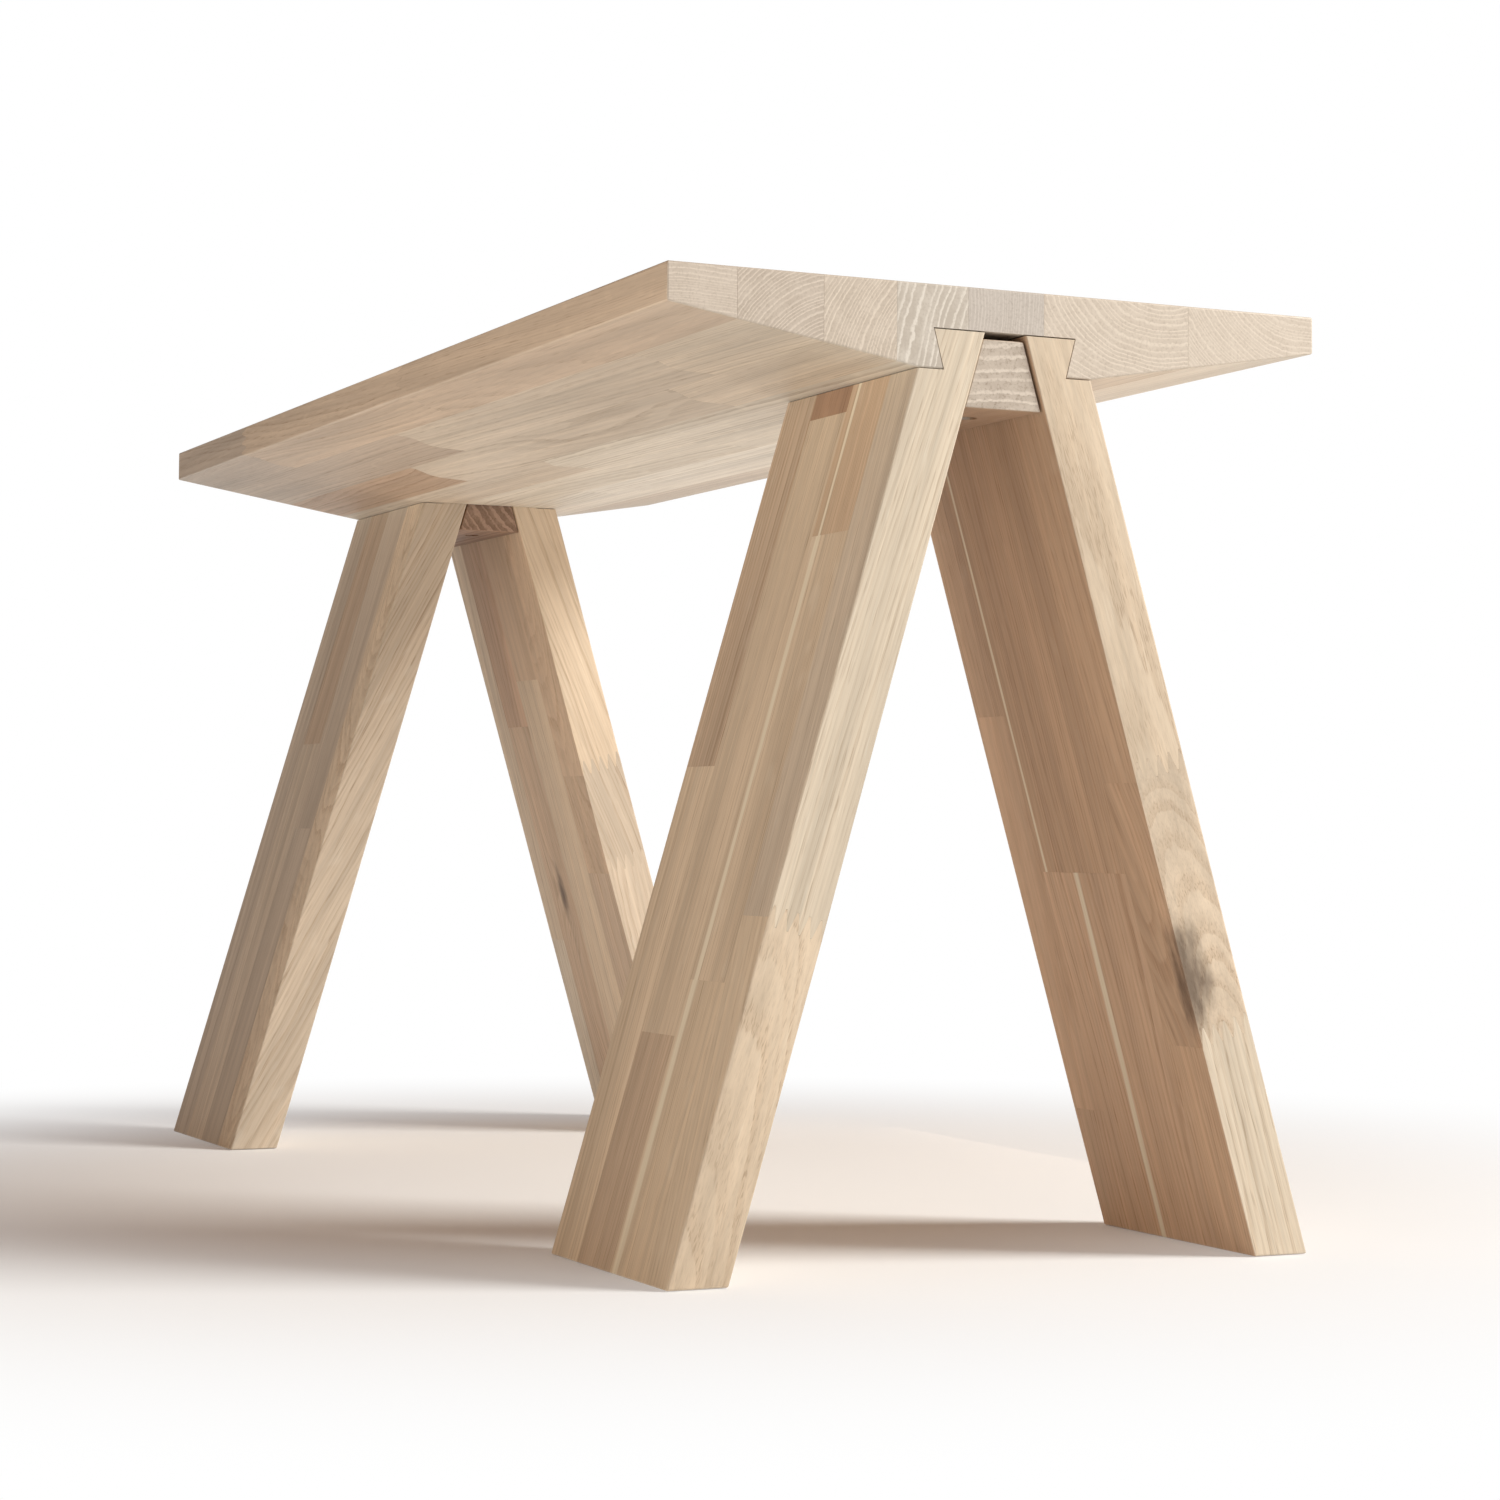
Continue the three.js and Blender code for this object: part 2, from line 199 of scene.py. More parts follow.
class Recipe:
    """A material's node tree, written as short calls that take sockets or plain numbers."""

    def __init__(self, name: str) -> None:
        """Starts an empty material.

        Args:
            name: the material's name.
        """
        self.material = bpy.data.materials.new(name)
        self.material.use_nodes = True
        self.tree = self.material.node_tree
        self.tree.nodes.clear()
        self.output = self.tree.nodes.new("ShaderNodeOutputMaterial")
        self.shader = self.tree.nodes.new("ShaderNodeBsdfPrincipled")
        self.tree.links.new(self.shader.outputs[0], self.output.inputs["Surface"])

    def feed(self, socket: Socket, value: object) -> None:
        """Links a socket to another, or sets its own value.

        Args:
            socket: the input to fill.
            value: an output socket, a number or a tuple.
        """
        if isinstance(value, Socket):
            self.tree.links.new(value, socket)
        else:
            socket.default_value = value

    def node(self, kind: str, values: tuple, output: int | str = 0, **settings: object) -> Socket:
        """Adds a node, sets it up and fills its first inputs in order.

        Args:
            kind: the node's type, without the ShaderNode in front.
            values: sockets or plain values for its inputs.
            output: the output to give back.
            settings: the node's own settings.

        Returns:
            The output's socket.
        """
        made = self.tree.nodes.new(f"ShaderNode{kind}")
        for setting, choice in settings.items():
            setattr(made, setting, choice)
        for socket, value in zip(made.inputs, values):
            self.feed(socket, value)
        return made.outputs[output]

    def read(self, name: str, part: str = "Vector") -> Socket:
        """Reads a mesh attribute as its Vector, its Color or its Fac."""
        return self.node("Attribute", (), part, attribute_name=name)

    def math(self, operation: str, first: object, second: object = 0.0, third: object = 0.0) -> Socket:
        """Works one sum on numbers."""
        return self.node("Math", (first, second, third), operation=operation)

    def ease(self, value: object, low: float, high: float, top: float = 1.0) -> Socket:
        """Steps smoothly from 0 at low to top at high. With high below low the step falls."""
        ends = (low, high, 0.0, top) if high > low else (high, low, top, 0.0)
        return self.node("MapRange", (value, *ends), interpolation_type="SMOOTHSTEP")

    def vector(self, operation: str, first: object, second: object) -> Socket:
        """Works one sum on vectors and gives the vector."""
        return self.node("VectorMath", (first, second), operation=operation)

    def length(self, value: Socket) -> Socket:
        """Measures a vector."""
        return self.node("VectorMath", (value,), "Value", operation="LENGTH")

    def split(self, value: Socket) -> list[Socket]:
        """Takes a vector apart into the sockets of its three numbers."""
        return list(self.node("SeparateXYZ", (value,)).node.outputs)

    def join(self, first: object, second: object, third: object) -> Socket:
        """Makes a vector of three numbers."""
        return self.node("CombineXYZ", (first, second, third))

    def noise(self, place: Socket, counts: Three, detail: float = 1.0, rough: float = 0.5) -> Socket:
        """Gives a soft random value near 0.5 with so many features per metre along, across and through."""
        scaled = self.vector("MULTIPLY", place, counts)
        return self.node("TexNoise", (scaled, 0.0, 1.0, detail, rough))

    def ripple(self, place: Socket, counts: Three, detail: float = 1.0, rough: float = 0.5) -> Socket:
        """Gives the same soft random value as noise does, but around 0."""
        return self.math("SUBTRACT", self.noise(place, counts, detail, rough), 0.5)

    def by_year(self, year: Socket) -> Socket:
        """Gives each year its own random value from 0 to 1."""
        return self.node("TexWhiteNoise", ((0.0, 0.0, 0.0), year), "Value", noise_dimensions="1D")

    def profile(self, value: Socket, stops: list[tuple[float, float]]) -> Socket:
        """Reads a grey profile drawn over 0 to 1.

        Args:
            value: where to read it.
            stops: its places and heights, in order.

        Returns:
            The height's socket.
        """
        node = self.tree.nodes.new("ShaderNodeValToRGB")
        node.color_ramp.interpolation = "EASE"
        elements = node.color_ramp.elements
        while len(elements) < len(stops):
            elements.new(0.5)
        for element, (place, height) in zip(elements, stops):
            element.position = place
            element.color = (height, height, height, 1.0)
        self.feed(node.inputs[0], value)
        return node.outputs[0]

    def mix(self, share: object, first: object, second: object, blend: str = "MIX") -> Socket:
        """Mixes two colours.

        Args:
            share: how much of the second is used.
            first: the first colour or socket.
            second: the second one.
            blend: the way of mixing.

        Returns:
            The colour's socket.
        """
        node = self.tree.nodes.new("ShaderNodeMix")
        node.data_type = "RGBA"
        node.blend_type = blend
        node.clamp_factor = True
        self.feed(node.inputs[0], share)
        self.feed(node.inputs[6], solid(first))
        self.feed(node.inputs[7], solid(second))
        return node.outputs[2]

    def bump(self, height: Socket, depth: float, strength: float) -> None:
        """Gives the surface relief.

        Args:
            height: the relief, about 0 to 1.
            depth: its depth in metres.
            strength: how strongly it shades.
        """
        node = self.tree.nodes.new("ShaderNodeBump")
        self.feed(node.inputs["Strength"], strength)
        self.feed(node.inputs["Distance"], depth)
        self.feed(node.inputs["Height"], height)
        self.tree.links.new(node.outputs[0], self.shader.inputs["Normal"])


def solid(colour: object) -> object:
    """Gives a plain colour its full alpha and leaves a socket as it is."""
    return (*colour, 1.0) if isinstance(colour, tuple) and len(colour) == 3 else colour


# ---------------------------------------------------------------------------------------------------------
# Finishes


@dataclass(frozen=True)
class OakFinish:
    """White-oiled oak as a solid: rings, pores, rays, sapwood and knots run through the whole board."""

    name: str
    late: Three = (0.640, 0.520, 0.385)
    early: Three = (0.500, 0.375, 0.255)
    pore: Three = (0.250, 0.160, 0.095)
    ray: Three = (0.690, 0.590, 0.460)
    sapwood: Three = (0.780, 0.700, 0.545)
    heart_stain: Three = (0.105, 0.068, 0.044)
    end_dark: Three = (0.450, 0.375, 0.300)
    end_light: Three = (0.670, 0.585, 0.490)
    roughness: float = 0.56
    gloss: float = 0.32
    pore_depth: float = 0.12 * MM
    relief: float = 0.3
    lean: float = 26.0 * MM
    pace: float = 7.0 * MM
    fibre_tone: float = 0.36
    patch_tone: float = 0.55
    band_tone: float = 0.45
    pore_tone: float = 0.48
    knot_tone: float = 0.82
    eased_tone: float = 0.10

    def build(self) -> bpy.types.Material:
        """Writes the material, which every length's own marks then vary."""
        return OakTree(self).paint()


class OakTree(Recipe):
    """An oak finish's node tree. It reads each point's place in the tree, in metres from the heart."""

    def __init__(self, finish: OakFinish) -> None:
        """Reads what a length's mesh says about itself.

        Args:
            finish: the colours and strengths to use.
        """
        super().__init__(finish.name)
        self.finish = finish
        self.grain = self.read("grain")
        self.place = self.read("place")
        self.density, self.contrast, self.wander = self.split(self.read("habit"))

    def paint(self) -> bpy.types.Material:
        """Writes colour, dullness and relief.

        Returns:
            The material.
        """
        finish = self.finish
        end = self.read("end_wood", "Fac")
        eased = self.read("eased", "Fac")
        core, bulge = self.knot()
        phase, year = self.rings(bulge)
        early = self.earlywood(phase, year)
        pores = self.pores(early)
        fibre = self.ripple(self.grain, (9.0, 520.0, 520.0), 4.0, 0.65)
        band = self.ripple(self.grain, (3.0, 150.0, 150.0), 2.0)
        patch = self.ripple(self.grain, (2.6, 34.0, 34.0), 2.0)
        shade = self.math("MULTIPLY_ADD", fibre, finish.fibre_tone, 1.0)
        shade = self.math("MULTIPLY_ADD", patch, finish.patch_tone, shade)
        shade = self.math("MULTIPLY_ADD", band, finish.band_tone, shade)
        colour = self.mix(self.math("MULTIPLY", early, self.contrast), finish.late, finish.early)
        colour = self.mix(self.rays(), colour, finish.ray)
        colour = self.mix(1.0, colour, self.join(shade, shade, shade), "MULTIPLY")
        colour = self.mix(self.math("MULTIPLY", pores, finish.pore_tone), colour, finish.pore)
        colour = self.mix(end, colour, self.cross_cut(phase, year))
        colour = self.mix(self.math("MULTIPLY", core, finish.knot_tone), colour, finish.heart_stain)
        colour = self.mix(self.math("MULTIPLY", eased, finish.eased_tone), colour, finish.ray)
        # each face's tone: the length's own shade, with painted light and shade on the sides of some lengths
        colour = self.mix(1.0, colour, self.read("tone_and_painted_light"), "MULTIPLY")
        sap = self.math("MULTIPLY", self.streak(), self.math("MULTIPLY_ADD", fibre, 1.2, 1.0))
        colour = self.mix(self.math("MULTIPLY_ADD", end, -0.5, sap), colour, finish.sapwood)
        self.feed(self.shader.inputs["Base Color"], colour)
        dull = self.math("MULTIPLY_ADD", pores, 0.16, finish.roughness)
        dull = self.math("MULTIPLY_ADD", fibre, 0.12, dull)
        dull = self.math("MULTIPLY_ADD", eased, -0.06, dull)
        self.feed(self.shader.inputs["Roughness"], dull)
        self.shader.inputs["Specular IOR Level"].default_value = finish.gloss
        height = self.math("MULTIPLY_ADD", pores, -0.8, self.math("MULTIPLY", early, -0.25))
        height = self.math("MULTIPLY_ADD", fibre, 0.5, height)
        self.bump(height, finish.pore_depth, finish.relief)
        return self.material

    def knot(self) -> tuple[Socket, Socket]:
        """Finds the dark core of a knot and how it pushes the rings aside.

        Returns:
            The core's share and the push in metres.
        """
        size = self.read("knot_size", "Fac")
        away = self.vector("SUBTRACT", self.place, self.read("knot"))
        rough = self.ripple(self.place, (45.0, 140.0, 140.0), 3.0, 0.6)
        near = self.length(self.vector("MULTIPLY", away, (0.40, 1.0, 1.0)))
        near = self.math("DIVIDE", near, self.math("MAXIMUM", size, 0.0001))
        core = self.ease(self.math("MULTIPLY_ADD", rough, 1.25, near), 1.0, 0.14)
        fall = self.math("POWER", 2.0, self.math("MULTIPLY", self.math("MULTIPLY", near, near), -0.8))
        return core, self.math("MULTIPLY", self.math("MULTIPLY", fall, size), 0.9)

    def rings(self, bulge: Socket) -> tuple[Socket, Socket]:
        """Lays the yearly rings round the heart, none quite round or as wide as the next.

        Args:
            bulge: the push of a knot, in metres.

        Returns:
            The place within the ring, from 0 to 1, and the ring's number.
        """
        radius = self.length(self.vector("MULTIPLY", self.grain, (0.0, 1.0, 1.0)))
        sway = self.ripple(self.grain, (4.5, 26.0, 26.0), 1.0)
        shiver = self.ripple(self.grain, (30.0, 280.0, 280.0), 2.0)
        radius = self.math("MULTIPLY_ADD", sway, self.math("MULTIPLY", self.wander, 4.0), radius)
        radius = self.math("ADD", radius, bulge)
        lean = self.ripple(self.grain, (1.7, 8.0, 8.0), 0.0)
        radius = self.math("MULTIPLY_ADD", lean, self.finish.lean, radius)
        pace = self.ripple(self.join(0.0, radius, 0.0), (1.0, 95.0, 1.0), 1.0)
        radius = self.math("MULTIPLY_ADD", pace, self.finish.pace, radius)
        turns = self.math("MULTIPLY_ADD", radius, self.density, self.math("MULTIPLY", shiver, 0.5))
        year = self.math("FLOOR", turns)
        return self.math("SUBTRACT", turns, year), year

    def earlywood(self, phase: Socket, year: Socket) -> Socket:
        """Gives the share of open spring wood, stronger in some years.

        Args:
            phase: the place within the ring.
            year: the ring's number.

        Returns:
            The share, from 0 to 1.
        """
        band = self.profile(phase, [(0.0, 0.0), (0.08, 1.0), (0.30, 0.85), (0.62, 0.18), (1.0, 0.0)])
        return self.math("MULTIPLY", band, self.math("MULTIPLY_ADD", self.by_year(year), 0.8, 0.2))

    def pores(self, early: Socket) -> Socket:
        """Scatters the vessels: long fine dashes along the grain, dots on a cut end.

        Args:
            early: the share of spring wood.

        Returns:
            Their share, from 0 to 1.
        """
        fine = self.ease(self.noise(self.grain, (70.0, 1900.0, 1900.0), 0.0), 0.57, 0.75, 0.9)
        long = self.ease(self.noise(self.grain, (18.0, 1400.0, 1400.0), 0.0), 0.57, 0.80, 0.7)
        both = self.math("MAXIMUM", fine, long)
        return self.math("MULTIPLY", both, self.math("MULTIPLY_ADD", early, 0.75, 0.22))

    def rays(self) -> Socket:
        """Draws the pale rays that run out from the heart, which show as flecks on quarter-sawn faces.

        Returns:
            Their share, from 0 to 1.
        """
        along, across, through = self.split(self.grain)
        bearing = self.math("ARCTAN2", through, across)
        radius = self.length(self.vector("MULTIPLY", self.grain, (0.0, 1.0, 1.0)))
        polar = self.join(along, bearing, radius)
        return self.ease(self.noise(polar, (55.0, 62.0, 90.0), 1.0), 0.60, 0.76, 0.38)

    def streak(self) -> Socket:
        """Finds the pale sapwood line.

        Returns:
            Its share, from 0 to 1.
        """
        middle, half_width, drift = self.split(self.read("streak"))
        along, across, _through = self.split(self.place)
        middle = self.math("MULTIPLY_ADD", along, drift, middle)
        ragged = self.ripple(self.place, (14.0, 260.0, 260.0), 2.0)
        off = self.math("ABSOLUTE", self.math("SUBTRACT", across, middle))
        share = self.math("DIVIDE", off, self.math("MAXIMUM", half_width, 0.00001))
        return self.ease(self.math("MULTIPLY_ADD", ragged, 0.9, share), 1.2, 0.5, 0.85)

    def cross_cut(self, phase: Socket, year: Socket) -> Socket:
        """Colours sawn end grain, where white oil fills the open spring wood as pale lines.

        Args:
            phase: the place within the ring.
            year: the ring's number.

        Returns:
            The colour.
        """
        line = self.profile(phase, [(0.0, 0.0), (0.10, 1.0), (0.26, 1.0), (0.46, 0.12), (1.0, 0.0)])
        strength = self.math("MULTIPLY_ADD", self.by_year(self.math("ADD", year, 0.37)), 0.5, 0.5)
        speckle = self.ease(self.noise(self.grain, (600.0, 720.0, 720.0), 3.0, 0.65), 0.46, 0.74)
        cloud = self.ease(self.noise(self.grain, (25.0, 95.0, 95.0), 2.0), 0.25, 0.72)
        dark = self.math("SUBTRACT", 1.0, self.math("MULTIPLY", line, strength))
        dark = self.math("MULTIPLY", dark, self.contrast)
        dark = self.math("MULTIPLY", dark, self.math("MULTIPLY_ADD", cloud, 0.4, 0.6))
        dark = self.math("MULTIPLY_ADD", speckle, 0.42, dark)
        return self.mix(self.math("MINIMUM", dark, 1.0), self.finish.end_light, self.finish.end_dark)


@dataclass(frozen=True)
class SteelFinish:
    """Plain turned steel, slightly dulled, with fine rings left by the lathe."""

    name: str
    colour: Three = (0.42, 0.42, 0.41)
    dulled: Three = (0.25, 0.24, 0.23)

    def build(self) -> bpy.types.Material:
        """Writes the material.

        Returns:
            The material.
        """
        recipe = Recipe(self.name)
        place = recipe.read("place")
        clouds = recipe.noise(place, (420.0, 420.0, 300.0), 3.0, 0.6)
        rings = recipe.noise(place, (60.0, 60.0, 5200.0), 2.0)
        stain = recipe.ease(clouds, 0.45, 0.72, 0.8)
        recipe.feed(recipe.shader.inputs["Base Color"], recipe.mix(stain, self.colour, self.dulled))
        recipe.feed(recipe.shader.inputs["Roughness"], recipe.math("MULTIPLY_ADD", stain, 0.22, 0.34))
        recipe.shader.inputs["Metallic"].default_value = 1.0
        recipe.bump(rings, 0.02 * MM, 0.3)
        return recipe.material


@dataclass(frozen=True)
class FloorFinish:
    """A plain pale floor with a faint unevenness."""

    name: str
    colour: Three = (0.93, 0.925, 0.92)
    shade: Three = (0.90, 0.895, 0.89)
    near: float = 0.2
    far: float = 0.9

    def build(self) -> bpy.types.Material:
        """Writes the material, which fades into the white of the studio far away.

        Returns:
            The material.
        """
        recipe = Recipe(self.name)
        place = recipe.read("place")
        clouds = recipe.noise(place, (2.1, 2.1, 2.1), 3.0)
        recipe.feed(recipe.shader.inputs["Base Color"], recipe.mix(clouds, self.colour, self.shade))
        recipe.shader.inputs["Roughness"].default_value = 0.85
        recipe.shader.inputs["Specular IOR Level"].default_value = 0.1
        recipe.bump(recipe.noise(place, (160.0, 160.0, 160.0), 2.0), 0.1 * MM, 0.15)
        glow = recipe.node("Emission", ((1.0, 1.0, 1.0, 1.0),))
        fade = recipe.ease(recipe.length(place), self.near, self.far)
        both = recipe.node("MixShader", (fade, recipe.shader.outputs[0], glow))
        recipe.feed(recipe.output.inputs["Surface"], both)
        return recipe.material


# ---------------------------------------------------------------------------------------------------------
# Mesh work


def write(mesh: bpy.types.Mesh, name: str, values: list[Vector] | list[float], domain: str = "POINT") -> None:
    """Writes a vector or a number for each point or face as an attribute.

    Args:
        mesh: the mesh.
        name: the attribute's name.
        values: the vectors or numbers, in order.
        domain: POINT or FACE.
    """
    if isinstance(values[0], Vector):
        made = mesh.attributes.new(name, "FLOAT_VECTOR", domain)
        made.data.foreach_set("vector", [number for value in values for number in value])
    else:
        made = mesh.attributes.new(name, "FLOAT", domain)
        made.data.foreach_set("value", values)


def hang(name: str, mesh: bpy.types.Mesh, material: bpy.types.Material) -> bpy.types.Object:
    """Puts a finished mesh into the scene.

    Args:
        name: the piece's name.
        mesh: its mesh.
        material: its finish.

    Returns:
        The new object.
    """
    piece = bpy.data.objects.new(name, mesh)
    mesh.materials.clear()
    mesh.materials.append(material)
    bpy.context.scene.collection.objects.link(piece)
    return piece


def belongs(piece: bpy.types.Object, node: str) -> None:
    """Fixes a piece to the bench in place of its CAD node and reports it.

    Args:
        piece: the finished piece.
        node: the node that it stands for.
    """
    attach(piece, "root")
    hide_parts(node)
    log.info("%s: %d faces, for %s", piece.name, len(piece.data.polygons), node)


def joined_box(names: list[str]) -> tuple[Vector, Vector]:
    """Measures several nodes together.

    Args:
        names: the nodes.

    Returns:
        Their lowest and highest corner.
    """
    boxes = [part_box(name) for name in names]
    low = Vector(min(box[0][i] for box in boxes) for i in range(3))
    high = Vector(max(box[1][i] for box in boxes) for i in range(3))
    return low, high


@dataclass
class Stock:
    """Oak boards glued up from lengths: the mesh work that the top, the legs and the blocks share."""

    names: list[str]
    material: bpy.types.Material
    slot: str
    looks: dict[str, OakLook] = field(default_factory=dict)
    drawn_rings: tuple[float, float] = (1.6, 3.6)
    easing: float = 0.9 * MM
    rounds: int = 3
    weld: float = 0.002 * MM
    near: float = 0.05 * MM
    flat_angle: float = math.radians(0.5)
    sharp_angle: float = math.radians(25.0)
    # share of the shade kept on faces that look right, towards the key lamp, so painted shade stays off them
    right_face_shade_share: float = 0.45
    low: Vector = field(init=False)
    high: Vector = field(init=False)
    grain: GrainFrame = field(init=False)

    def __post_init__(self) -> None:
        """Measures the whole board and finds its grain."""
        self.low, self.high = joined_box(self.names)
        self.grain = self.find_grain()

    def find_grain(self) -> GrainFrame:
        """Gives the directions of the grain, along the bench unless a board says otherwise."""
        return GrainFrame(Vector((1, 0, 0)), Vector((0, 1, 0)), Vector((0, 0, 1)))

    def skin(self, normal: Vector, middle: Vector) -> Skin:
        """Says what a face is on the finished board.

        Args:
            normal: the face's normal.
            middle: the face's middle.

        Returns:
            Its kind.
        """
        raise NotImplementedError

    def look(self, name: str) -> OakLook:
        """Gives a length its own look, or a drawn one."""
        return self.looks.get(name) or drawn_look(name, self.drawn_rings)

    def anchor(self, name: str) -> Vector:
        """Gives the point in a length that its look is measured from."""
        low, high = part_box(name)
        return (low + high) / 2

    def build(self) -> None:
        """Makes every length."""
        for name in self.names:
            mesh, eased = self.shape(name)
            self.dress(mesh, name, eased)
            belongs(hang(f"{name}_oak", mesh, self.material), name)

    def shape(self, name: str) -> tuple[bpy.types.Mesh, list[float]]:
        """Copies a length's shape and eases the edges between its outside faces.

        Args:
            name: the length's node.

        Returns:
            The mesh, and for each face 1 if it is an eased edge and otherwise 0.
        """
        work = bmesh.new()
        work.from_mesh(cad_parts[name].data)
        bmesh.ops.remove_doubles(work, verts=work.verts, dist=self.weld)
        bmesh.ops.dissolve_limit(
            work,
            angle_limit=self.flat_angle,
            use_dissolve_boundaries=False,
            verts=work.verts,
            edges=work.edges,
        )
        work.normal_update()
        kinds = {face: self.skin(face.normal, face.calc_center_median()) for face in work.faces}
        sharp = [edge for edge in work.edges if self.eases(edge, kinds)]
        made = bmesh.ops.bevel(
            work, geom=sharp, offset=self.easing, offset_type="OFFSET", segments=self.rounds, profile=0.5,
            affect="EDGES", clamp_overlap=False,
        )
        rounded = set(made["faces"])
        bmesh.ops.triangulate(work, faces=[face for face in work.faces if len(face.verts) > 4])
        work.normal_update()
        mesh = bpy.data.meshes.new(f"{name}_oak")
        eased = [1.0 if face in rounded else 0.0 for face in work.faces]
        for face in work.faces:
            face.smooth = face in rounded
        work.to_mesh(mesh)
        work.free()
        return mesh, eased

    def eases(self, edge: bmesh.types.BMEdge, kinds: dict[bmesh.types.BMFace, Skin]) -> bool:
        """Says whether an edge is eased: it is sharp and lies between two outside faces.

        Args:
            edge: the edge.
            kinds: each face's kind.

        Returns:
            True if it is.
        """
        if len(edge.link_faces) != 2:
            return False
        first, second = (kinds[face] for face in edge.link_faces)
        if Skin.HIDDEN in (first, second):
            return False
        return edge.calc_face_angle(0.0) > self.sharp_angle

    def tone_and_painted_light(self, normal: Vector, look: OakLook) -> Vector:
        """Shades one face: the length's shade on faces that look towards the bench's ends, and on the others
        the painted light and shade of its sides, if it has them. Faces that look to the right, towards the
        key lamp, keep only part of their shade, so the painted shade stays off the lit side.

        Args:
            normal: the face's normal.
            look: the length's look.

        Returns:
            The shade, in red, green and blue.
        """
        shade = look.shade if abs(normal.x) > 0.7 else look.sides or look.shade
        plain = Vector(Shade.PLAIN.value)
        return plain.lerp(Vector(shade.value), self.right_face_shade_share if normal.y > 0.5 else 1.0)

    def dress(self, mesh: bpy.types.Mesh, name: str, eased: list[float]) -> None:
        """Writes what the oak finish reads: the point's place in the tree and the length's own marks.

        Args:
            mesh: the length's mesh.
            name: its node.
            eased: for each face, 1 if it is an eased edge.
        """
        look = self.look(name)
        knot = look.knot or NO_KNOT
        draw = random.Random(name + " seat")
        origin = self.anchor(name)
        start = draw.uniform(2.0, 40.0)
        places = [self.grain.measure(vertex.co, origin) for vertex in mesh.vertices]
        seats = [
            Vector(
                (
                    start + place.x,
                    place.y - look.pith[0] * MM + look.slant[0] * MM * place.x,
                    place.z - look.pith[1] * MM + look.slant[1] * MM * place.x,
                )
            )
            for place in places
        ]
        write(mesh, "grain", seats)
        write(mesh, "place", places)
        # each face's shade, with the painted light and shade of the sides
        write(mesh, "tone_and_painted_light", [self.tone_and_painted_light(face.normal, look) for face in mesh.polygons], "FACE")
        marks = {
            "habit": (1.0 / (look.ring * MM), look.contrast, look.wander * MM),
            "streak": [number * MM for number in look.streak or NO_STREAK],
            "knot": [number * MM for number in knot[:3]],
        }
        for mark, numbers in marks.items():
            write(mesh, mark, [Vector(numbers)] * len(mesh.vertices))
        write(mesh, "knot_size", [knot[3] * MM] * len(mesh.vertices))
        write(mesh, "eased", eased, "FACE")
        facing = [abs(face.normal.dot(self.grain.along)) for face in mesh.polygons]
        write(mesh, "end_wood", [min(1.0, max(0.0, share * 2.0 - 0.9)) for share in facing], "FACE")


@dataclass
class TopBoard(Stock):
    """The board on top: seven staves, thick in the middle and thin at its long edges."""

    under_share: float = 0.6

    def skin(self, normal: Vector, middle: Vector) -> Skin:
        """Says what a face is: the housings for the legs and the glue lines are hidden.

        Args:
            normal: the face's normal.
            middle: the face's middle.

        Returns:
            Its kind.
        """
        if abs(normal.x) > 0.99 and abs(abs(middle.x) - self.high.x) < self.near:
            return Skin.CUT
        if abs(normal.y) > 0.99 and abs(abs(middle.y) - self.high.y) < self.near:
            return Skin.EDGE
        if normal.z > 0.99 and middle.z > self.high.z - self.near:
            return Skin.WIDE
        if normal.z < -0.95 and self.under_skin(middle):
            return Skin.UNDER
        return Skin.HIDDEN

    def under_skin(self, middle: Vector) -> bool:
        """Says whether a downward face is the underside and not the ceiling of a housing.

        Args:
            middle: the face's middle.

        Returns:
            True if it is the underside.
        """
        edge_bottom = self.high.z - self.edge_thickness()
        reach = 1.0 - abs(middle.y) / self.high.y
        slope_limit = edge_bottom - reach * (edge_bottom - self.low.z) * self.under_share
        return middle.z < slope_limit + self.near

    def edge_thickness(self) -> float:
        """Measures the board at its long edge.

        Returns:
            The thickness there.
        """
        first = [name for name in self.names if "_stave_1_" in name][0]
        edge = [v.co.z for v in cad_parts[first].data.vertices if abs(v.co.y - self.low.y) < self.near]
        return self.high.z - min(edge)

    def anchor(self, name: str) -> Vector:
        """Measures a look from the end of the length that is nearest the front, at mid thickness."""
        low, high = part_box(name)
        return Vector((high.x, (low.y + high.y) / 2, (self.low.z + self.high.z) / 2))


@dataclass
class LegBoard(Stock):
    """One splayed leg: four or three staves that run down the leg, with its tenon in the board."""

    side: Side = Side.LEFT
    drawn_rings: tuple[float, float] = (1.3, 2.8)

    def find_grain(self) -> GrainFrame:
        """Measures the leg's splay from its widest face.

        Returns:
            The directions along the leg, across its width and through its thickness.
        """
        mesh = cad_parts[self.names[0]].data
        tally: dict[tuple[float, float], float] = {}
        for face in mesh.polygons:
            if abs(face.normal.x) < 0.01 and face.normal.y * self.side.sign > 0.5:
                key = (round(face.normal.y, 3), round(face.normal.z, 3))
                tally[key] = tally.get(key, 0.0) + face.area
        outward = max(tally, key=tally.get)
        through = Vector((0.0, *outward)).normalized()
        across = Vector((1.0, 0.0, 0.0))
        along = Vector((0.0, -through.z * self.side.sign, through.y * self.side.sign))
        return GrainFrame(along, across, through)

    def skin(self, normal: Vector, middle: Vector) -> Skin:
        """Says what a face is: combs, glue lines and the tenon's cheeks are hidden.

        Args:
            normal: the face's normal.
            middle: the face's middle.

        Returns:
            Its kind.
        """
        if normal.z < -0.99 and middle.z < self.near:
            return Skin.CUT
        if abs(normal.dot(self.grain.through)) > 0.999:
            return Skin.WIDE
        if abs(normal.x) > 0.99 and min(abs(middle.x - self.low.x), abs(middle.x - self.high.x)) < self.near:
            return Skin.EDGE
        return Skin.HIDDEN


